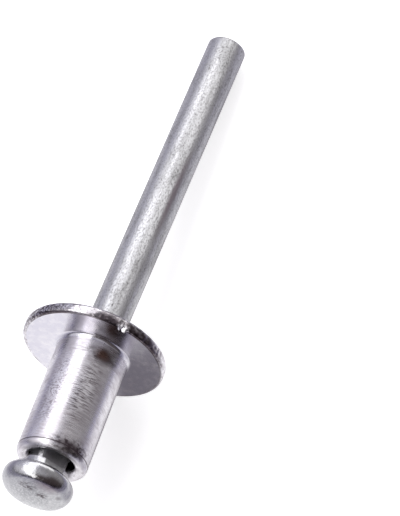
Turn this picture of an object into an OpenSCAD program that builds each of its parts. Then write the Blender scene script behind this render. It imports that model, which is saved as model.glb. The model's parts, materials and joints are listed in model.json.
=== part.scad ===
// Blind rivet, 4.8 mm size, unset: a hollow aluminium body with a domed flange, and the steel
// mandrel that a rivet tool draws through it until the pinched neck behind its head snaps.
//
// Each piece is drawn about its own axis with the bearing face of the flange at z = 0 and the
// mandrel's tail upwards. The pieces are then laid down on z = 0 as the rivet comes to rest,
// on the rim of the flange and the edge of the tail, with the long axis along X.

/* [Body] */
// Outside diameter of the hollow shank
body_d = 4.75; // [4.6:0.01:4.9]
// Length of the shank below the bearing face
body_len = 8.5; // [7:0.1:20]
// Diameter of the bore
bore_d = 3.06; // [2.9:0.01:3.3]
// Radius of the fillet between the shank and the bearing face
fillet_r = 0.3; // [0.1:0.05:0.6]

/* [Flange] */
// Diameter of the flange
flange_d = 9.6; // [8.5:0.1:11]
// Thickness of the flange at its rim
rim_h = 0.75; // [0.5:0.05:0.9]
// Height of the flange at the mouth of the bore
flange_h = 1.1; // [1:0.05:1.6]
// Radius of the rim's lower edge
rim_low_r = 0.3; // [0.1:0.05:0.4]
// Diameter of the counterbore in the flange
mouth_d = 3.6; // [3.4:0.05:4]
// Depth of the counterbore
mouth_depth = 0.4; // [0.2:0.05:0.6]
// Radius of the counterbore's outer edge
mouth_r = 0.12; // [0.05:0.01:0.2]

/* [Mandrel] */
// Diameter of the mandrel's shank
mandrel_d = 2.64; // [2.4:0.01:2.8]
// Length of the mandrel above the bearing face
tail_len = 26.1; // [20:0.1:40]
// Radius of the sheared end's edge
tail_edge_r = 0.2; // [0.05:0.05:0.4]

/* [Mandrel head] */
// Diameter of the head
head_d = 4.7; // [4:0.05:4.74]
// Gap along the axis from the body's free end to the head's widest part
head_gap = 1.58; // [1.5:0.02:2]
// Length of the cylindrical band round the head
head_band = 0.12; // [0.1:0.01:0.8]
// Radius of the shoulder above the band
shoulder_r = 0.45; // [0.3:0.05:0.6]
// Radius of the edge between the band and the end face
head_edge_r = 0.75; // [0.3:0.05:0.9]
// Rise of the domed end face beyond its edge
head_dome = 0.3; // [0.1:0.05:0.6]
// Slope of the head's underside, from the axis
underside_slope = 62; // [58:1:66]
// Diameter of the collar at its foot, where it meets the underside
collar_d = 3.5; // [3.3:0.05:3.7]
// Diameter of the collar at its top edge
collar_top_d = 3.3; // [3:0.05:3.4]
// Length of the collar
collar_len = 0.42; // [0.2:0.02:0.5]
// Slope of the collar's top face, from the axis
collar_slope = 70; // [45:1:80]

/* [Break notch] */
// Distance across two opposite pinched flats of the notch
notch_flats = 2.06; // [1.9:0.02:2.4]
// Length of the flats along the axis
notch_len = 0.95; // [0.5:0.05:1.2]
// Slope of the flats' run-out into the shank, from the axis
notch_slope = 45; // [30:1:60]
// Distance across two opposite flats that the jaws leave on the collar's top edge
collar_flats = 3; // [2.9:0.02:3.2]
// Turn of the flats about the axis
notch_turn = 30; // [0:1:89]

/* [Fit] */
// Distance below the bearing face at which the two axes cross
cross_depth = 2.2; // [1:0.1:3]
// Smallest gap between the leaning mandrel and the bore
touch_gap = 0.01; // [0.005:0.005:0.05]

/* [Hidden] */
$fn = 96;
ARC_STEPS = 10;
// Height of the collar's foot that the jaws leave whole
JAW_LIFT = 0.02;

body_r = body_d / 2;
bore_r = bore_d / 2;
wall = body_r - bore_r;
flange_r = flange_d / 2;
rim_high_r = rim_h - rim_low_r;
mandrel_r = mandrel_d / 2;
head_r = head_d / 2;
collar_r = collar_d / 2;
collar_top_r = collar_top_d / 2;

// Heights along the axis of the mandrel's head, collar and notch
head_top = -body_len - head_gap;
head_low = head_top - head_band;
head_end = head_low - head_edge_r - head_dome;
underside = [
    head_r - shoulder_r * (1 - cos(underside_slope)),
    head_top + shoulder_r * sin(underside_slope)
];
collar_low = underside.y + (underside.x - collar_r) / tan(underside_slope);
collar_high = collar_low + collar_len;
notch_low = collar_high + (collar_top_r - mandrel_r) / tan(collar_slope);
notch_high = notch_low + notch_len;

// The mandrel leans in the bore until it touches the wall where the bore's end rounds off
lean = asin((bore_r - mandrel_r - touch_gap) / (body_len - wall / 2 - cross_depth));

// Laid down, the rivet tips until the flange's rim and the tail's edge are equally low
rest_rise = flange_r - rim_high_r - (mandrel_r - tail_edge_r);
rest_run = tail_len - tail_edge_r - rim_low_r;
rest_tilt = atan(rest_rise / rest_run)
    + asin((rim_high_r - tail_edge_r) / norm([rest_rise, rest_run]));
axis_height = (flange_r - rim_high_r) * cos(rest_tilt) + rim_low_r * sin(rest_tilt) + rim_high_r;
end_x = (tail_len - tail_edge_r) * cos(rest_tilt)
    + (mandrel_r - tail_edge_r) * sin(rest_tilt) + tail_edge_r;
start_x = head_end * cos(rest_tilt);

// Points of an arc about a centre, from one angle to another
function arc(centre, radius, from, to) = [
    for (i = [0 : ARC_STEPS])
        let (a = from + (to - from) * i / ARC_STEPS)
            centre + radius * [cos(a), sin(a)]
];

// Points of a rounded edge that runs on into a shallow dome, from the side to the dome's crown
function domed_edge(centre, edge_r, crown_x, rise) =
    let (
        run = centre.x - crown_x,
        dome_r = (run * run + rise * rise + 2 * edge_r * rise) / (2 * rise),
        slope = asin(run / (dome_r - edge_r))
    )
    concat(
        arc(centre, edge_r, 0, 90 - slope),
        arc([crown_x, centre.y + edge_r + rise - dome_r], dome_r, 90 - slope, 90)
    );

// The same points below the bearing face instead of above it, in the opposite order
function turned_over(points) = [
    for (i = [len(points) - 1 : -1 : 0]) [points[i].x, -points[i].y]
];

module body_section() {
    polygon(concat(
        // free end, rounded from the bore to the outside
        arc([bore_r + wall / 2, wall / 2 - body_len], wall / 2, 180, 360),
        // fillet under the flange
        arc([body_r + fillet_r, -fillet_r], fillet_r, 180, 90),
        // rim of the flange
        arc([flange_r - rim_low_r, rim_low_r], rim_low_r, 270, 360),
        // domed top and the mouth of the bore
        domed_edge([flange_r - rim_high_r, rim_low_r], rim_high_r, mouth_d / 2 + mouth_r, flange_h - rim_h),
        arc([mouth_d / 2 + mouth_r, flange_h - mouth_r], mouth_r, 90, 180),
        [
            [mouth_d / 2, flange_h - mouth_depth],
            [bore_r, flange_h - mouth_depth]
        ]
    ));
}

module mandrel_section() {
    polygon(concat(
        // domed end face, from the axis outwards
        turned_over(domed_edge([head_r - head_edge_r, -head_low], head_edge_r, 0, head_dome)),
        arc([head_r - shoulder_r, head_top], shoulder_r, 0, underside_slope),
        // collar and the low end of the shank
        [
            [collar_r, collar_low],
            [collar_top_r, collar_high],
            [mandrel_r, notch_low]
        ],
        // sheared tail
        arc([mandrel_r - tail_edge_r, tail_len - tail_edge_r], tail_edge_r, 0, 90),
        [[0, tail_len]]
    ));
}

// One jaw of the pinching die, as a bar across the mandrel: it cuts a flat of the notch and
// leaves a smaller flat on the collar below
module pinch_jaw() {
    flat = notch_flats / 2;
    collar_flat = collar_flats / 2;
    foot = collar_flat + collar_r - collar_top_r;
    reach = collar_r + 0.4;
    rotate([90, 0, 0])
        linear_extrude(height = 2 * reach, center = true)
            polygon([
                [flat, notch_high],
                [flat, notch_low],
                [collar_flat, collar_high],
                [foot, collar_low + JAW_LIFT],
                [reach, collar_low + JAW_LIFT],
                [reach, notch_high + (reach - flat) / tan(notch_slope)]
            ]);
}

module lay_down() {
    translate([-(start_x + end_x) / 2, 0, axis_height])
        rotate([0, 90 + rest_tilt, 0])
            children();
}

module rivet_body() {
    // the body swings level about the point where its axis crosses the mandrel's
    cross = [-(start_x + end_x) / 2 - cross_depth * cos(rest_tilt), 0, 0];
    color("gainsboro")
        translate(cross)
            rotate([0, 0, lean])
                translate(-cross)
                    lay_down()
                        rotate_extrude()
                            body_section();
}

module mandrel() {
    color("silver")
        lay_down()
            difference() {
                rotate_extrude()
                    mandrel_section();
                for (turn = [0 : 90 : 270])
                    rotate([0, 0, notch_turn + turn])
                        pinch_jaw();
            }
}

rivet_body();
mandrel();
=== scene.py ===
"""Blind rivet: an aluminium body with a domed flange on a zinc-plated steel mandrel.

The body and the mandrel are turned about their own axes in millimetres, then laid where the
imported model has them. The stage adds a white floor, soft studio light and the camera.
"""

import json
import math
import types

import bmesh
import bpy
from bpy.props import FloatProperty, FloatVectorProperty, PointerProperty
from mathutils import Matrix, Vector, noise


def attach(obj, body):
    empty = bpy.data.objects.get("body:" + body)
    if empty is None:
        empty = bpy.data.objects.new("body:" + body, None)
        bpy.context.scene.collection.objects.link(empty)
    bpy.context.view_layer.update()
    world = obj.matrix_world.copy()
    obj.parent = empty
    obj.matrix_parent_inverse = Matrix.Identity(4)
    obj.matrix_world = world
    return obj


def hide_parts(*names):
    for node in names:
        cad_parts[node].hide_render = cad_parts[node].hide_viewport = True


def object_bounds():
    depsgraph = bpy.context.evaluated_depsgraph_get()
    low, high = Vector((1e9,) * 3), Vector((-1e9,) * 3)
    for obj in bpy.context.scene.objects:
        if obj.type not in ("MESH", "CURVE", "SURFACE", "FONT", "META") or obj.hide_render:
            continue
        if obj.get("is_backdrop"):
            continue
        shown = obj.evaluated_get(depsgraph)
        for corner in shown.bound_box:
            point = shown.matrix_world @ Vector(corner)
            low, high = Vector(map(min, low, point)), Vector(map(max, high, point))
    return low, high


bl_info = {
    "name": "Blind Rivet",
    "version": (1, 0, 0),
    "blender": (4, 5, 0),
    "location": "View3D > Sidebar > Rivet",
    "description": "Builds a blind rivet, its materials and a small studio",
    "category": "Add Mesh",
}

MM = 0.001

# Mesh, with lengths in millimetres.
STEPS = 384  # facets round each turned piece
ROUND_STEPS = 6  # facets across each rounded edge
NEAR = 1e-4  # how close a point counts as being on a ring or a plane
SHY = 0.995  # share of its room that a rounding takes, so that two of them don't meet in a point
SHARP_ANGLE = math.radians(32)  # an edge that turns more than this stays crisp
JAW_LIFT = 0.02  # height of the collar's foot that the jaws leave whole
RIM_RINGS = (4 / 3, 5 / 3)  # heights of the rim's extra rings, as shares of its lower rounding
SQUEEZED_STRIP = 1.5  # width of the squeezed-out strip under the rim, as a share of that rounding
PITTED_SIDE = Vector((-0.60, 0.80, 0))  # where the rim is rough, in the body's own frame
PIT_LEVEL = 0.5  # noise above which the smooth side has a pit
PIT_SPREAD = 0.6  # how far that level drops on the rough side
BURR_GRAIN = 0.3  # size of the burr's tears, as a share of its half width
BURR_LIFT = 0.5  # how far an untorn burr stands out, as a share of its depth
STEEP = 2  # how fast a pit or the burr reaches its full depth

# Material slots of the body and of the mandrel.
DRAWN, IRONED, SQUEEZED, PRESSED = range(4)
WIRE, PINCHED, UPSET = range(3)

# Grain masks: the noise at which a patch of grain begins and the noise at which it is full.
GRAIN_DETAIL = 3.0  # octaves of finer noise in each grain
SCRATCH_EDGE = (0.46, 0.70)
PATCH_EDGE = (0.45, 0.65)
MARK_EDGE = (0.42, 0.56)
PATCH_SHARE = 0.4  # how much of the wear is patches, and the rest is scratches
BLOT_CORE = 0.3  # share of a blot's half size within which it is full

# Floor: half its size in metres, and its brightness to the eye and in the metal.
FLOOR_HALF = 1.5
FLOOR_SEEN = 0.75
FLOOR_MIRRORED = 0.62
PAPER = "#e7e7e7"
# What the metal mirrors of the floor, in metres: centre, half sizes, start and end of the fade as
# shares of the half sizes, and the colour faded to. All of it is painted shade, seen only in the
# metal: dimmer far away and beside the rivet, and a painted shadow where the flange shades it.
PAINTED_FLOOR_SHADE = (
    ((-0.014, -0.003, 0), (1.5, 1, 1), 0.005, 0.030, "#888695"),
    ((-0.019, -0.010, 0), (0.012, 0.006, 1), 1.0, 0.3, "#a6a4ac"),
    ((-0.0105, -0.0028, 0), (0.0053, 0.0033, 1), 1.1, 0.4, "#848186"),
)

# Softboxes: name, offset from the rivet's centre, width and height, all in metres, and radiance.
SOFTBOXES = (
    ("strip_light", (0, 0.2575, 0.4286), 0.344, 3.2, 1.7),
    ("near_light", (0.078, -0.018, 0.052), 0.075, 0.075, 1.2),
)

# The room that the metal mirrors: the axis of each fade, where it starts and where it ends, as
# parts of a direction of length 1.
ROOM_FADES = {
    "across": ("Y", -0.3, 0.8),
    "along": ("X", -0.25, 0.35),
    "left": ("Y", 0.2, 0.5),
    "low": ("Z", 0.05, 0.25),
    "high": ("Z", 0.68, 0.95),
    "rise": ("Z", 0.0, 0.25),
}
HORIZON = 0.7  # brightness of the room at the horizon
EYE_WHITE = "#ffffff"  # the room to the eye, and not in the metal
WALL_RIGHT = "#a6a3a6"
WALL_LEFT = "#d7d6e7"
# The end wall, beyond the head: on the right, on the left, low down and high up.
END_DARK = "#595252"
END_PALE = "#e5e3eb"
END_LOW = "#272730"
END_HIGH = "#c4c2c8"

# Camera, in millimetres.
SENSOR = 36
CLIP_START = 10

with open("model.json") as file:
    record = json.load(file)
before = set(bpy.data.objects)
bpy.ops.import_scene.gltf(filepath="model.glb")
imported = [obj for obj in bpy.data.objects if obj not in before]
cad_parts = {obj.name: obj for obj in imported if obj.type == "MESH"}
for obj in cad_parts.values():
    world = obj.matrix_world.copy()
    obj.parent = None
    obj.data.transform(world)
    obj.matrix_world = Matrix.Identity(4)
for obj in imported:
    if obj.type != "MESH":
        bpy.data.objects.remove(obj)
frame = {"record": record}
MOUNTS = {mount["name"]: mount for mount in frame["record"]["mounts"]}


def linear(shade):
    """Scene-linear red, green and blue of an sRGB hex colour."""
    values = [int(shade[i : i + 2], 16) / 255 for i in (1, 3, 5)]
    return [v / 12.92 if v <= 0.04045 else ((v + 0.055) / 1.055) ** 2.4 for v in values]


def mount_diameter(name):
    """Diameter of a round mount, in millimetres."""
    return 2 * MOUNTS[name]["dims"]["r_mm"]


def length(name, description, millimetres):
    """A length that the user can change, given in millimetres and kept in metres."""
    return FloatProperty(
        name=name, description=description, default=millimetres * MM, min=0.0, unit="LENGTH", precision=5
    )


def angle(name, description, degrees):
    """An angle that the user can change, given in degrees and kept in radians."""
    return FloatProperty(name=name, description=description, default=math.radians(degrees), unit="ROTATION")


def colour(name, description, value):
    """A colour that the user can change, given as sRGB hex and kept linear."""
    return FloatVectorProperty(
        name=name, description=description, default=linear(value), subtype="COLOR", size=3, min=0.0, max=1.0
    )


class RIVET_PG_body(bpy.types.PropertyGroup):
    """Sizes of the hollow body and its flange."""

    shank_diameter: length("Shank", "Outside diameter of the hollow shank", mount_diameter("shank"))
    shank_length: length("Shank length", "From the bearing face to the free end", 8.5)
    bore_diameter: length("Bore", "Diameter of the bore", 3.06)
    fillet: length("Fillet", "Radius between the shank and the bearing face", 0.3)
    flange_diameter: length("Flange", "Diameter of the flange", 9.6)
    rim_height: length("Rim", "Thickness of the flange at its rim", 0.75)
    rim_low_round: length("Rim underside", "Radius of the rim's lower edge", 0.18)
    rim_high_round: length("Rim top", "Radius between the rim and the domed top", 0.27)
    pit_depth: length("Pits", "Depth of the deepest pits along the rim", 0.06)
    pit_size: length("Pit size", "Distance between pits along the rim", 0.30)
    nick_turn: angle("Nick turn", "Where the burred nick sits on the rim, about the axis", 113.8)
    nick_size: length("Nick", "Half width of the burred nick", 0.50)
    nick_depth: length("Nick depth", "How far the nick's burr stands out", 0.50)
    flange_height: length("Flange height", "Height of the flange at its mouth", 1.1)
    mouth_diameter: length("Mouth", "Diameter of the counterbore in the flange", 3.6)
    mouth_depth: length("Mouth depth", "Depth of the counterbore", 0.4)
    mouth_round: length("Mouth edge", "Radius of the counterbore's outer edge", 0.12)


class RIVET_PG_mandrel(bpy.types.PropertyGroup):
    """Sizes of the mandrel, its head and its break notch."""

    diameter: length("Diameter", "Diameter of the mandrel", mount_diameter("mandrel_tail"))
    tail_length: length("Tail", "From the bearing face to the sheared end", 26.1)
    tail_round: length("Tail edge", "Radius of the sheared end's edge", 0.2)
    head_diameter: length("Head", "Diameter of the head", 4.7)
    head_gap: length("Head gap", "From the body's free end to the head's widest part", 1.58)
    head_band: length("Head band", "Length of the round band of the head", 0.12)
    shoulder_round: length("Shoulder", "Radius of the shoulder above the band", 0.45)
    head_round: length("Head edge", "Radius between the band and the end face", 0.75)
    head_dome: length("Head dome", "Rise of the domed end face beyond its edge", 0.3)
    underside_slope: angle("Underside", "Slope of the head's underside, from the axis", 62)
    collar_diameter: length("Collar", "Diameter of the collar at its foot", 3.5)
    collar_top_diameter: length("Collar top", "Diameter of the collar at its top edge", 3.3)
    collar_length: length("Collar length", "Length of the collar", 0.42)
    collar_slope: angle("Collar top slope", "Slope of the collar's top face, from the axis", 70)
    notch_flats: length("Notch", "Distance across two opposite pinched flats", 2.06)
    notch_length: length("Notch length", "Length of the pinched flats", 0.95)
    notch_slope: angle("Notch slope", "Slope of the flats' run-out, from the axis", 45)
    notch_turn: angle("Notch turn", "Turn of the flats about the axis", 30)
    collar_flats: length("Collar flats", "Distance across two opposite flats on the collar", 3.0)


class RIVET_PG_finish(bpy.types.PropertyGroup):
    """Colours of the two metals."""

    aluminium: colour("Aluminium", "Clean aluminium", "#e3e1e4")
    aluminium_dull: colour("Dull aluminium", "Aluminium rubbed dull", "#c0babd")
    # Real tarnish in scratches and pits; round the body's free end this colour is a painted dark
    # reflection.
    tarnish_and_dark_reflection: colour("Tarnish", "Grease and tarnish held in scratches and pits", "#4a4145")
    ironed: colour("Ironed aluminium", "Underside of the flange", "#d2d0d8")
    rubbed: colour("Rubbed aluminium", "Scratches rubbed dark", "#9a9296")
    # Real grease on the rim; on the right of the body's free end this colour is a painted dark reflection.
    smudge_and_dark_reflection: colour("Smudge", "Grease wiped over the rim and the free end", "#6c6468")
    stain: colour("Stain", "Brown oil stain under the flange", "#6f5850")
    zinc: colour("Zinc", "Clean zinc plate", "#c7c7c8")
    zinc_dull: colour("Dull zinc", "Zinc plate between its grains", "#868584")
    zinc_worn: colour("Worn zinc", "Zinc plate on the head's end face, worn", "#a6a7a9")
    zinc_scuffed: colour("Scuffed zinc", "Zinc plate on the head, scuffed", "#b0b1b3")


class RIVET_PG_stage(bpy.types.PropertyGroup):
    """Where the camera stands."""

    azimuth: angle("Azimuth", "Turn of the camera about the vertical, from -Y", -70.29)
    elevation: angle("Elevation", "Height of the camera over the horizon", 64.95)
    distance: length("Distance", "From the camera to the plane through the bearing face's centre", 236.9)
    aside: length("Aside", "How far right of the flange the camera aims", 6.86)
    above: length("Above", "How far above the flange the camera aims", 6.26)
    lens: FloatProperty(
        name="Lens", description="Focal length on a 36 mm sensor", default=256.1, unit="CAMERA"
    )


def turned(outline, closed):
    """An outline of (radius, height, rounding) corners, in millimetres, turned about Z."""
    bm = bmesh.new()
    points = [bm.verts.new((r, 0, h)) for r, h, _ in outline]
    pairs = list(zip(points, points[1:]))
    if closed:
        pairs.append((points[-1], points[0]))
    lines = [bm.edges.new(pair) for pair in pairs]
    bmesh.ops.spin(
        bm, geom=points + lines, axis=(0, 0, 1), cent=(0, 0, 0), angle=math.tau, steps=STEPS, use_merge=True
    )
    bmesh.ops.remove_doubles(bm, verts=bm.verts, dist=NEAR)
    corners = zip(outline, outline[1:] + outline[:1], outline[-1:] + outline[:-1])
    for (r, h, rounding), after, before in corners:
        if rounding:
            arriving = Vector((r - before[0], h - before[1]))
            leaving = Vector((after[0] - r, after[1] - h))
            round_ring(bm, r, h, rounding * math.tan(arriving.angle(leaving) / 2))
    bmesh.ops.recalc_face_normals(bm, faces=bm.faces)
    return bm


def round_ring(bm, radius, height, offset):
    """Rounds the ring of edges at a radius and a height, from the offset on either side of it."""
    ring = [e for e in bm.edges if all(on_ring(v, radius, height) for v in e.verts)]
    bmesh.ops.bevel(
        bm,
        geom=ring,
        offset=offset,
        offset_type="OFFSET",
        segments=ROUND_STEPS,
        profile=0.5,
        affect="EDGES",
        material=-1,
    )


def on_ring(vert, radius, height):
    """Whether the vertex is at the radius and the height, to within NEAR."""
    return abs(vert.co.xy.length - radius) < NEAR and abs(vert.co.z - height) < NEAR


def domed_edge(centre_r, centre_h, edge_round, crown_r, rise):
    """Corners of a rounded edge that runs on into a shallow dome; a negative rise points down."""
    way = math.copysign(1, rise)
    run = centre_r - crown_r
    rise = abs(rise)
    dome_round = (run * run + rise * rise + 2 * edge_round * rise) / (2 * rise)
    slope = math.asin(run / (dome_round - edge_round))
    side_h = centre_h + way * edge_round * math.tan((math.pi / 2 - slope) / 2)
    crown_h = centre_h + way * (edge_round + rise)
    return [
        (centre_r + edge_round, side_h, edge_round),
        (crown_r + dome_round * math.tan(slope / 2), crown_h, dome_round * SHY),
    ]


def in_mm(group):
    """The group's sizes by name, lengths in millimetres and angles in radians."""
    sizes = types.SimpleNamespace()
    for prop in group.bl_rna.properties:
        if prop.type == "FLOAT":
            scale = 1 / MM if prop.unit == "LENGTH" else 1
            setattr(sizes, prop.identifier, getattr(group, prop.identifier) * scale)
    return sizes


def pinched(bm, jaw, turn):
    """Presses four flats round a turned piece, each to the jaw's (distance, height) outline."""
    up = Vector((0, 0, 1))
    # A ring at each height keeps every face inside one band, so that no flat runs on up the shank.
    for _, height in jaw:
        cut(bm, bm.faces, up * height, up)
    for quarter in range(4):
        out = Matrix.Rotation(turn + quarter * math.pi / 2, 3, "Z") @ Vector((1, 0, 0))
        # All the cuts come before the first press, which would move the edges that they cross.
        for (near, low), (far, high) in zip(jaw, jaw[1:]):
            faces = [f for f in bm.faces if in_band(f.calc_center_median(), low, high, out)]
            cut(bm, faces, up * low + out * near, jaw_normal(out, near, low, far, high))
        for (near, low), (far, high) in zip(jaw, jaw[1:]):
            for vert in bm.verts:
                reach = near + (far - near) * (vert.co.z - low) / (high - low)
                if in_band(vert.co, low, high, out) and vert.co.dot(out) > reach:
                    vert.co += out * (reach - vert.co.dot(out))
            flat = jaw_normal(out, near, low, far, high).normalized()
            for face in bm.faces:
                middle = face.calc_center_median()
                on_jaw = abs((middle - up * low - out * near).dot(flat)) < NEAR
                if on_jaw and in_band(middle, low, high, out):
                    face.material_index = PINCHED
    return bm


def jaw_normal(out, near, low, far, high):
    """A vector square to the jaw's face between two corners of its outline, as long as that face."""
    return out * (high - low) + Vector((0, 0, near - far))


def cut(bm, faces, start, normal):
    """Splits the faces where the plane through the start crosses them."""
    around = {item for f in faces for item in (*f.edges, *f.verts)}
    bmesh.ops.bisect_plane(bm, geom=[*faces, *around], dist=NEAR, plane_co=start, plane_no=normal)


def in_band(point, low, high, out):
    """Whether the point is between two heights and on the side of the axis that a jaw presses."""
    return low - NEAR < point.z < high + NEAR and point.dot(out) > 0


def pit_rim(bm, inner, top, size, depth):
    """Pushes pits into what lies outside the inner radius, deepest low down and on the rough side."""
    for vert in bm.verts:
        radius = vert.co.xy.length
        if radius > inner and vert.co.z < top:
            out = Vector((*vert.co.xy, 0)) / radius
            rough = (1 + out.dot(PITTED_SIDE)) / 2  # 0 on the smooth side, 1 on the rough side
            hollow = max(0, noise.noise(vert.co / size) - PIT_LEVEL + PIT_SPREAD * rough)
            vert.co -= out * depth * min(1, STEEP * hollow) * rough * (1 - vert.co.z / top)


def burr_rim(bm, inner, spot, size, depth):
    """Raises a torn burr outside the inner radius, within the given distance of the spot."""
    for vert in bm.verts:
        near = 1 - (vert.co - Vector(spot)).length / size
        if near > 0 and vert.co.xy.length > inner:
            out = Vector((*vert.co.xy, 0)).normalized()
            torn = noise.noise(vert.co / (BURR_GRAIN * size))
            lift = BURR_LIFT * torn * out - Vector((0, 0, BURR_LIFT + torn))
            vert.co += depth * min(1, STEEP * near) * lift


def loose_object(name, bm):
    """The mesh as a new object in the scene."""
    mesh = bpy.data.meshes.new(name)
    bm.to_mesh(mesh)
    bm.free()
    made = bpy.data.objects.new(name, mesh)
    bpy.context.scene.collection.objects.link(made)
    return made


def piece(name, bm, place, materials):
    """The mesh, scaled from millimetres and laid in place, as a new object."""
    bmesh.ops.transform(bm, matrix=place @ Matrix.Scale(MM, 4), verts=bm.verts)
    made = loose_object(name, bm)
    made.data.shade_smooth()
    made.data.set_sharp_from_angle(angle=SHARP_ANGLE)
    for material in materials:
        made.data.materials.append(material)
    return made


def body_place():
    """Puts +Z along the body, away from its free end, with the bearing face at z = 0."""
    mount = MOUNTS["shank"]
    along = -Vector(mount["axis"])
    turn = along.to_track_quat("Z", "Y").to_matrix().to_4x4()
    face = Vector(MOUNTS["bearing_face"]["pos_m"])
    centre = Vector(mount["pos_m"])
    centre += along * (face - centre).dot(along)
    return Matrix.Translation(centre) @ turn


def mandrel_place(sizes):
    """Puts +Z along the mandrel, towards its tail, with the bearing face at z = 0."""
    mount = MOUNTS["mandrel_tail"]
    along = Vector(mount["axis"])
    turn = along.to_track_quat("Z", "Y").to_matrix().to_4x4()
    free_length = mount["dims"]["length_mm"] * MM
    centre = Vector(mount["pos_m"]) + along * (free_length / 2 - sizes.tail_length + sizes.tail_round)
    return Matrix.Translation(centre) @ turn


def node(tree, kind, inputs=(), **settings):
    """Adds a node, sets its properties, and fills or links its inputs, given as name to value or socket."""
    made = tree.nodes.new(kind)
    for name, value in settings.items():
        setattr(made, name, value)
    for name, value in dict(inputs).items():
        if isinstance(value, bpy.types.NodeSocket):
            tree.links.new(value, made.inputs[name])
        else:
            made.inputs[name].default_value = value
    return made


def grain(tree, spot, sizes, edge):
    """A mask of grains with the given sizes, in millimetres along X, Y and Z."""
    scale = [1 / size for size in sizes]
    stretched = node(tree, "ShaderNodeMapping", {"Vector": spot, "Scale": scale})
    clouds = {"Vector": stretched.outputs[0], "Scale": 1.0, "Detail": GRAIN_DETAIL}
    cloud = node(tree, "ShaderNodeTexNoise", clouds)
    levels = {"Value": cloud.outputs[0], "From Min": edge[0], "From Max": edge[1]}
    return node(tree, "ShaderNodeMapRange", levels).outputs[0]


def distance(tree, spot, centre, sizes):
    """How far the spot is from the centre, as a share of the half sizes."""
    from_centre = {"Vector": spot, "Location": centre, "Scale": sizes}
    moved = node(tree, "ShaderNodeMapping", from_centre, vector_type="TEXTURE")
    return node(tree, "ShaderNodeVectorMath", {0: moved.outputs[0]}, operation="LENGTH").outputs["Value"]


def blot(tree, spot, centre, sizes, mask):
    """The mask, kept to a soft-edged region with the given centre and half sizes in millimetres."""
    fade = {"Value": distance(tree, spot, centre, sizes), "From Min": 1.0, "From Max": BLOT_CORE}
    inside = node(tree, "ShaderNodeMapRange", fade)
    return node(tree, "ShaderNodeMath", {0: inside.outputs[0], 1: mask}, operation="MULTIPLY").outputs[0]


def painted(tree, ground, layers):
    """The ground colour under layers of (mask, colour), each laid over those before it."""
    for mask, coat in layers:
        under, over = (c if isinstance(c, bpy.types.NodeSocket) else (*c, 1) for c in (ground, coat))
        mix = node(tree, "ShaderNodeMix", {"Factor": mask, "A": under, "B": over}, data_type="RGBA")
        ground = mix.outputs["Result"]
    return ground


def worked_metal(name, place, clean, dull, scratches, patches, roughness, relief, marks=()):
    """Metal with scratches over dull patches, both by size in millimetres, and marks on top.

    Roughness is a pair, for clean and for dull metal. Relief is the depth of the scratches in
    millimetres. A mark is (centre, half sizes, grain sizes, colour), solid where the grain is None.
    """
    material = bpy.data.materials.new(name)
    material.use_nodes = True
    tree = material.node_tree
    shader = tree.nodes["Principled BSDF"]
    shader.inputs["Metallic"].default_value = 1
    own = {
        "Vector": node(tree, "ShaderNodeTexCoord").outputs["Object"],
        "Location": place.translation,
        "Rotation": place.to_euler(),
        "Scale": (MM, MM, MM),
    }
    spot = node(tree, "ShaderNodeMapping", own, vector_type="TEXTURE").outputs[0]
    fine = grain(tree, spot, scratches, SCRATCH_EDGE)
    wide = grain(tree, spot, patches, PATCH_EDGE)
    shares = {"Factor": PATCH_SHARE, "A": fine, "B": wide}
    wear = node(tree, "ShaderNodeMix", shares, data_type="FLOAT").outputs["Result"]
    layers = [(wear, dull)]
    for centre, half_sizes, sizes, mark_colour in marks:
        cover = grain(tree, spot, sizes, MARK_EDGE) if sizes else 1.0
        layers.append((blot(tree, spot, centre, half_sizes, cover), mark_colour))
    tree.links.new(painted(tree, clean, layers), shader.inputs["Base Color"])
    span = {"Value": wear, "To Min": roughness[0], "To Max": roughness[1]}
    rough = node(tree, "ShaderNodeMapRange", span)
    tree.links.new(rough.outputs[0], shader.inputs["Roughness"])
    bump = node(tree, "ShaderNodeBump", {"Height": fine, "Distance": relief * MM})
    tree.links.new(bump.outputs[0], shader.inputs["Normal"])
    return material


def round_spot(radius, degrees, height):
    """A point on a turned surface, in the piece's own frame."""
    turn = math.radians(degrees)
    return (radius * math.cos(turn), radius * math.sin(turn), height)


def paint(bm, zone):
    """Gives each face the material that the zone function picks from its radius and height."""
    for face in bm.faces:
        centre = face.calc_center_median()
        face.material_index = zone(centre.xy.length, centre.z)


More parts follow.
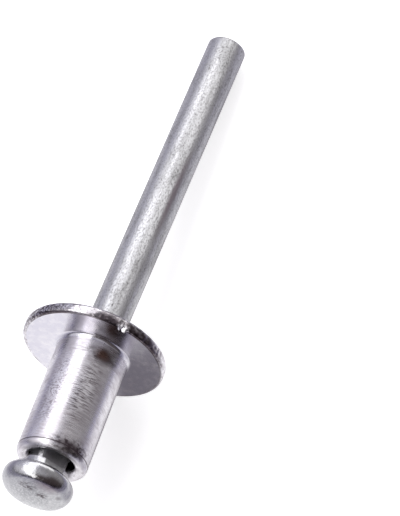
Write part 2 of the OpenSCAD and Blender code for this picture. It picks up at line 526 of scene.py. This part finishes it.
class RIVET_OT_body(bpy.types.Operator):
    """Turns the hollow body with its flange"""

    bl_idname = "rivet.body"
    bl_label = "Body"

    def execute(self, context):
        s = in_mm(context.scene.rivet_body)
        finish = context.scene.rivet_finish
        bore, shank, flange = s.bore_diameter / 2, s.shank_diameter / 2, s.flange_diameter / 2
        mouth = s.mouth_diameter / 2
        end_round = (shank - bore) / 2 * SHY
        rim_round = s.rim_high_round
        crown = mouth + s.mouth_round
        rise = s.flange_height - s.rim_height
        squeezed_from = flange - SQUEEZED_STRIP * s.rim_low_round
        outline = [
            # free end
            (bore, -s.shank_length, end_round),
            (shank, -s.shank_length, end_round),
            # underside of the flange
            (shank, 0, s.fillet),
            (squeezed_from, 0, 0),
            # rim and domed top
            (flange, 0, s.rim_low_round),
            *((flange, s.rim_low_round * share, 0) for share in RIM_RINGS),
            *domed_edge(flange - rim_round, s.rim_height - rim_round, rim_round, crown, rise),
            # mouth of the bore
            (mouth, s.flange_height, s.mouth_round * SHY),
            (mouth, s.flange_height - s.mouth_depth, 0),
            (bore, s.flange_height - s.mouth_depth, 0),
        ]
        bm = turned(outline, closed=True)

        def zone(radius, height):
            if radius > squeezed_from + NEAR:
                return SQUEEZED
            if height > s.rim_height / 2 or radius < bore + NEAR:
                return PRESSED
            return IRONED if height > -s.fillet else DRAWN

        paint(bm, zone)
        rough_rim = flange - s.rim_low_round / 2
        pit_rim(bm, rough_rim, s.rim_height, s.pit_size, s.pit_depth)
        burr_rim(bm, rough_rim, round_spot(flange, math.degrees(s.nick_turn), 0), s.nick_size, s.nick_depth)
        place = body_place()
        clean, dull, rubbed = finish.aluminium, finish.aluminium_dull, finish.rubbed
        tarnish_and_dark_reflection, smudge_and_dark_reflection, stain = finish.tarnish_and_dark_reflection, finish.smudge_and_dark_reflection, finish.stain
        # Aluminium alloy, drawn and rubbed on its way through the machine: short scratches run round
        # the shank. Real ones are a few hundredths of a millimetre wide, and these are about 0.1 mm
        # so that they show. The marks are two rubbed stripes along the shank, one with grease in it and
        # both with clean metal, then grease and an oil stain under the flange, and a painted dark
        # reflection round the free end: darkening on its right and a thin ring where its rounding starts.
        drawn = worked_metal(
            "drawn_aluminium",
            place,
            clean,
            dull,
            scratches=(0.6, 0.6, 0.09),
            patches=(0.9, 0.9, 1.6),
            roughness=(0.24, 0.50),
            relief=0.0006,
            marks=(
                (round_spot(shank, 108, -4.2), (1.5, 1.5, 3.8), (0.8, 0.8, 0.10), rubbed),
                (round_spot(shank, 106, -3.9), (1.0, 1.0, 3.3), (0.45, 0.45, 0.08), smudge_and_dark_reflection),
                (round_spot(shank, 106, -3.8), (1.4, 1.4, 3.3), (0.5, 0.5, 0.07), clean),
                (round_spot(shank, 62, -4.2), (1.0, 1.0, 3.8), (0.20, 0.20, 0.10), rubbed),
                (round_spot(shank, 62, -3.8), (0.8, 0.8, 2.8), (0.14, 0.14, 0.12), clean),
                (round_spot(shank, 115, -1.15), (1.9, 1.9, 0.65), (0.9, 0.9, 0.5), smudge_and_dark_reflection),
                (round_spot(shank, 115, -1.0), (0.68, 0.68, 0.58), None, stain),
                # Painted dark reflection: darkening on the right of the free end, and a thin dark ring
                # round the shank where its rounding starts.
                (round_spot(shank, 120, -8.0), (1.4, 1.4, 0.5), None, smudge_and_dark_reflection),
                (round_spot(shank, 122, -7.95), (2.1, 2.1, 0.75), (0.3, 0.3, 0.2), tarnish_and_dark_reflection),
                ((0, 0, -s.shank_length + end_round), (9, 9, 0.06), None, tarnish_and_dark_reflection),
            ),
        )
        # Aluminium ironed flat by the lower die: close to a mirror. Its haze is too fine to show, and is
        # drawn as clouds 0.5 mm wide or more.
        ironed = worked_metal(
            "ironed_aluminium",
            place,
            finish.ironed,
            clean,
            scratches=(0.5, 0.5, 0.5),
            patches=(2.0, 2.0, 2.0),
            roughness=(0.16, 0.26),
            relief=0.001,
        )
        # The rim is where the aluminium was squeezed out, which left it grainy. The grain is drawn 0.2 mm
        # wide, coarser than a real one, so that it shows. The marks are a dark line along each half of
        # the lower edge, grease near the burr, dirt in the pits, and the bare burr.
        squeezed = worked_metal(
            "squeezed_aluminium",
            place,
            clean,
            rubbed,
            scratches=(0.20, 0.20, 0.12),
            patches=(0.7, 0.7, 0.7),
            roughness=(0.15, 0.32),
            relief=0.004,
            marks=(
                (round_spot(flange, 55, 0.0), (2.9, 2.9, 0.12), None, smudge_and_dark_reflection),
                (round_spot(flange, 134, 0.03), (3.2, 3.2, 0.18), None, smudge_and_dark_reflection),
                (round_spot(flange, 102, 0.1), (1.9, 1.9, 0.65), None, smudge_and_dark_reflection),
                (round_spot(flange, 134, 0.1), (2.4, 2.4, 0.6), None, smudge_and_dark_reflection),
                (flange * PITTED_SIDE, (3.8, 3.8, 1.2), (0.35, 0.35, 0.25), tarnish_and_dark_reflection),
                (round_spot(flange, 40, 0.4), (3.6, 3.6, 1.6), (0.14, 0.14, 0.14), tarnish_and_dark_reflection),
                (round_spot(flange, 114.5, -0.1), (0.55, 0.55, 0.5), None, clean),
            ),
        )
        # Aluminium pressed by the upper die: a smooth satin dome. Its haze is too fine to show, and is
        # drawn as clouds 0.4 mm wide or more.
        pressed = worked_metal(
            "pressed_aluminium",
            place,
            clean,
            dull,
            scratches=(0.4, 0.4, 0.4),
            patches=(1.2, 1.2, 1.2),
            roughness=(0.16, 0.26),
            relief=0.002,
        )
        body = piece("aluminium_body", bm, place, [drawn, ironed, squeezed, pressed])
        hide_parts("rivet_body")
        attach(body, "root")
        return {"FINISHED"}


class RIVET_OT_mandrel(bpy.types.Operator):
    """Turns the mandrel with its head and pinches its break notch"""

    bl_idname = "rivet.mandrel"
    bl_label = "Mandrel"

    def execute(self, context):
        s = in_mm(context.scene.rivet_mandrel)
        finish = context.scene.rivet_finish
        shank, head, collar = s.diameter / 2, s.head_diameter / 2, s.collar_diameter / 2
        collar_top = s.collar_top_diameter / 2
        head_top = -context.scene.rivet_body.shank_length / MM - s.head_gap
        head_low = head_top - s.head_band
        shoulder = head_top + s.shoulder_round * math.tan(s.underside_slope / 2)
        collar_low = shoulder + (head - collar) / math.tan(s.underside_slope)
        collar_high = collar_low + s.collar_length
        notch_low = collar_high + (collar_top - shank) / math.tan(s.collar_slope)
        side, crown = domed_edge(head - s.head_round, head_low, s.head_round, 0, -s.head_dome)
        outline = [
            # domed end face and shoulder of the head
            (0, crown[1], 0),
            crown,
            side,
            (head, shoulder, s.shoulder_round),
            # collar and shank
            (collar, collar_low, 0),
            (collar_top, collar_high, 0),
            (shank, notch_low, 0),
            # sheared tail
            (shank, s.tail_length, s.tail_round),
            (0, s.tail_length, 0),
        ]
        flat, collar_flat = s.notch_flats / 2, s.collar_flats / 2
        notch_high = notch_low + s.notch_length
        jaw = [
            (collar, collar_low),
            (collar_flat + collar - collar_top, collar_low + JAW_LIFT),
            (collar_flat, collar_high),
            (flat, notch_low),
            (flat, notch_high),
            (shank, notch_high + (shank - flat) / math.tan(s.notch_slope)),
        ]
        bm = pinched(turned(outline, closed=False), jaw, s.notch_turn)
        # All that the jaws left of the head and its collar is as the upsetting die made it.
        for face in bm.faces:
            if face.calc_center_median().z < collar_high and face.material_index == WIRE:
                face.material_index = UPSET
        place = mandrel_place(context.scene.rivet_mandrel)
        clean, dull, rubbed, tarnish_and_dark_reflection = finish.zinc, finish.zinc_dull, finish.rubbed, finish.tarnish_and_dark_reflection
        # Steel wire drawn lengthwise, then zinc plated: satin, with a grain stretched along it and one
        # rubbed streak. The plating's crystals are some micrometres across and are drawn 0.1 mm wide,
        # so that they show.
        wire = worked_metal(
            "zinc_plated_wire",
            place,
            clean,
            dull,
            scratches=(0.10, 0.10, 0.15),
            patches=(0.35, 0.35, 3.0),
            roughness=(0.32, 0.56),
            relief=0.009,
            marks=((round_spot(shank, 128, 12.8), (0.30, 0.30, 4.4), None, rubbed),),
        )
        # Steel upset in a die, then zinc plated: bright on the round shoulder, scuffed over 0.2 mm, which
        # is coarser than real scuffs, so that they show. The marks are wear over the end face, a rubbed
        # patch at its edge, three dark nicks, and rubbing round the shoulder.
        upset = worked_metal(
            "zinc_plated_head",
            place,
            clean,
            finish.zinc_scuffed,
            scratches=(0.22, 0.22, 0.22),
            patches=(0.9, 0.9, 0.9),
            roughness=(0.16, 0.34),
            relief=0.004,
            marks=(
                ((0, 0, crown[1]), (2.6, 2.6, 0.9), (0.12, 0.12, 0.12), finish.zinc_worn),
                (round_spot(head - 0.35, 122, head_low - 0.65), (1.3, 1.0, 0.55), None, rubbed),
                ((0.35, 1.15, crown[1]), (0.85, 0.5, 0.5), (0.35, 0.13, 0.3), tarnish_and_dark_reflection),
                ((-0.65, 0.6, crown[1]), (0.5, 0.4, 0.5), (0.3, 0.10, 0.3), tarnish_and_dark_reflection),
                ((-1.74, 0.53, crown[1]), (0.35, 0.35, 0.5), None, tarnish_and_dark_reflection),
                ((0, 0, head_top), (2.6, 2.6, 1.2), (0.25, 0.25, 0.25), rubbed),
            ),
        )
        # Steel pinched by four jaws and zinc plated: the flats are dull. Their grain is too fine to show,
        # and is drawn 0.1 mm wide.
        notch = worked_metal(
            "zinc_plated_notch",
            place,
            clean,
            finish.zinc_scuffed,
            scratches=(0.12, 0.12, 0.12),
            patches=(0.4, 0.4, 0.4),
            roughness=(0.36, 0.50),
            relief=0.006,
        )
        mandrel = piece("steel_mandrel", bm, place, [wire, notch, upset])
        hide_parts("mandrel")
        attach(mandrel, "root")
        return {"FINISHED"}


class RIVET_OT_stage(bpy.types.Operator):
    """Adds the floor, the light and the camera"""

    bl_idname = "rivet.stage"
    bl_label = "Stage"

    def execute(self, context):
        scene = context.scene
        add_floor()
        add_light(scene)
        add_camera(scene)
        scene.view_settings.view_transform = "Standard"
        return {"FINISHED"}


def add_floor():
    """White paper under the rivet, plain to the eye, with painted shade that only the metal mirrors."""
    bm = bmesh.new()
    bmesh.ops.create_grid(bm, x_segments=1, y_segments=1, size=FLOOR_HALF)
    floor = loose_object("floor", bm)
    # White paper, matt, plain to the eye and with painted shade where the metal mirrors it.
    material = bpy.data.materials.new("white_paper_sweep")
    material.use_nodes = True
    tree = material.node_tree
    shader = tree.nodes["Principled BSDF"]
    shader.inputs["Roughness"].default_value = 1
    shader.inputs["Specular IOR Level"].default_value = 0
    path = node(tree, "ShaderNodeLightPath")
    spot = node(tree, "ShaderNodeTexCoord").outputs["Object"]
    layers = []
    # Painted shade, seen only in glossy rays: the floor darkened far away, beside the rivet and under the
    # flange.
    for centre, half_sizes, near, far, shade in PAINTED_FLOOR_SHADE:
        fade = {"Value": distance(tree, spot, centre, half_sizes), "From Min": near, "From Max": far}
        mask = node(tree, "ShaderNodeMapRange", fade)
        in_metal = {0: mask.outputs[0], 1: path.outputs["Is Glossy Ray"]}
        shaded = node(tree, "ShaderNodeMath", in_metal, operation="MULTIPLY")
        layers.append((shaded.outputs[0], linear(shade)))
    tone = painted(tree, linear(PAPER), layers)
    tree.links.new(tone, shader.inputs["Base Color"])
    tree.links.new(tone, shader.inputs["Emission Color"])
    to_eye = {0: path.outputs["Is Camera Ray"], 1: FLOOR_SEEN}
    seen = node(tree, "ShaderNodeMath", to_eye, operation="MULTIPLY")
    glow = {0: path.outputs["Is Glossy Ray"], 1: FLOOR_MIRRORED, 2: seen.outputs[0]}
    strength = node(tree, "ShaderNodeMath", glow, operation="MULTIPLY_ADD")
    tree.links.new(strength.outputs[0], shader.inputs["Emission Strength"])
    floor.data.materials.append(material)
    floor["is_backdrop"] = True


def add_light(scene):
    """The softboxes, and the room that the metal mirrors."""
    centre = sum(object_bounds(), Vector()) / 2
    for name, offset, width, height, radiance in SOFTBOXES:
        add_softbox(name, centre, offset, width, height, radiance)
    world = bpy.data.worlds.new("studio")
    scene.world = world
    world.use_nodes = True
    tree = world.node_tree
    way = node(tree, "ShaderNodeTexCoord").outputs["Generated"]
    sides = node(tree, "ShaderNodeSeparateXYZ", {0: way})
    fades = {}
    for name, (axis, start, end) in ROOM_FADES.items():
        span = {"Value": sides.outputs[axis], "From Min": start, "From Max": end}
        fades[name] = node(tree, "ShaderNodeMapRange", span)
    fades["rise"].inputs["To Min"].default_value = HORIZON
    masks = {name: fade.outputs[0] for name, fade in fades.items()}
    end_wall = painted(tree, linear(END_DARK), [(masks["left"], linear(END_PALE))])
    end_wall = painted(tree, linear(END_LOW), [(masks["low"], end_wall), (masks["high"], linear(END_HIGH))])
    side_walls = painted(tree, linear(WALL_RIGHT), [(masks["across"], linear(WALL_LEFT))])
    # To the eye, the room is plain white.
    seen = node(tree, "ShaderNodeLightPath").outputs["Is Camera Ray"]
    room = painted(tree, end_wall, [(masks["along"], side_walls), (seen, linear(EYE_WHITE))])
    strength = node(tree, "ShaderNodeMath", {0: masks["rise"], 1: seen}, operation="MAXIMUM")
    background = tree.nodes["Background"]
    tree.links.new(room, background.inputs["Color"])
    tree.links.new(strength.outputs[0], background.inputs["Strength"])


def add_softbox(name, aim, offset, width, height, radiance):
    """A rectangle of even light that faces the aim, its height in line with the rivet's length."""
    data = bpy.data.lights.new(name, "AREA")
    data.shape = "RECTANGLE"
    data.size = width
    data.size_y = height
    data.energy = radiance * math.pi * width * height
    lamp = bpy.data.objects.new(name, data)
    bpy.context.scene.collection.objects.link(lamp)
    back = Vector(offset).normalized()
    aside = Vector((1, 0, 0)).cross(back).normalized()
    turn = Matrix((aside, back.cross(aside), back)).transposed()
    lamp.matrix_world = Matrix.Translation(aim + Vector(offset)) @ turn.to_4x4()
    lamp.visible_camera = False


def add_camera(scene):
    """A long lens that looks down on the rivet from the head's end."""
    s = scene.rivet_stage
    turn = Matrix.Rotation(s.azimuth, 3, "Z") @ Matrix.Rotation(math.pi / 2 - s.elevation, 3, "X")
    right, up, back = turn.col
    data = bpy.data.cameras.new("camera")
    data.sensor_width = SENSOR
    data.lens = s.lens
    data.clip_start = CLIP_START * MM
    camera = bpy.data.objects.new("camera", data)
    scene.collection.objects.link(camera)
    flange = mandrel_place(scene.rivet_mandrel).translation
    camera.location = flange + right * s.aside + up * s.above + back * s.distance
    camera.rotation_euler = turn.to_euler()
    scene.camera = camera


class RIVET_PT_panel(bpy.types.Panel):
    """Lists the pieces of the rivet"""

    bl_idname = "RIVET_PT_panel"
    bl_label = "Blind Rivet"
    bl_space_type = "VIEW_3D"
    bl_region_type = "UI"
    bl_category = "Rivet"

    def draw(self, context):
        for operator in OPERATORS:
            self.layout.operator(operator.bl_idname)


GROUPS = {
    "rivet_body": RIVET_PG_body,
    "rivet_mandrel": RIVET_PG_mandrel,
    "rivet_finish": RIVET_PG_finish,
    "rivet_stage": RIVET_PG_stage,
}
OPERATORS = (RIVET_OT_body, RIVET_OT_mandrel, RIVET_OT_stage)


def register():
    for cls in (*GROUPS.values(), *OPERATORS, RIVET_PT_panel):
        bpy.utils.register_class(cls)
    for name, group in GROUPS.items():
        setattr(bpy.types.Scene, name, PointerProperty(type=group))


def unregister():
    for name in GROUPS:
        delattr(bpy.types.Scene, name)
    for cls in (RIVET_PT_panel, *reversed(OPERATORS), *reversed(GROUPS.values())):
        bpy.utils.unregister_class(cls)


def main():
    register()
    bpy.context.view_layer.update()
    bpy.ops.rivet.body()
    bpy.ops.rivet.mandrel()
    bpy.ops.rivet.stage()


if __name__ == "__main__":
    main()
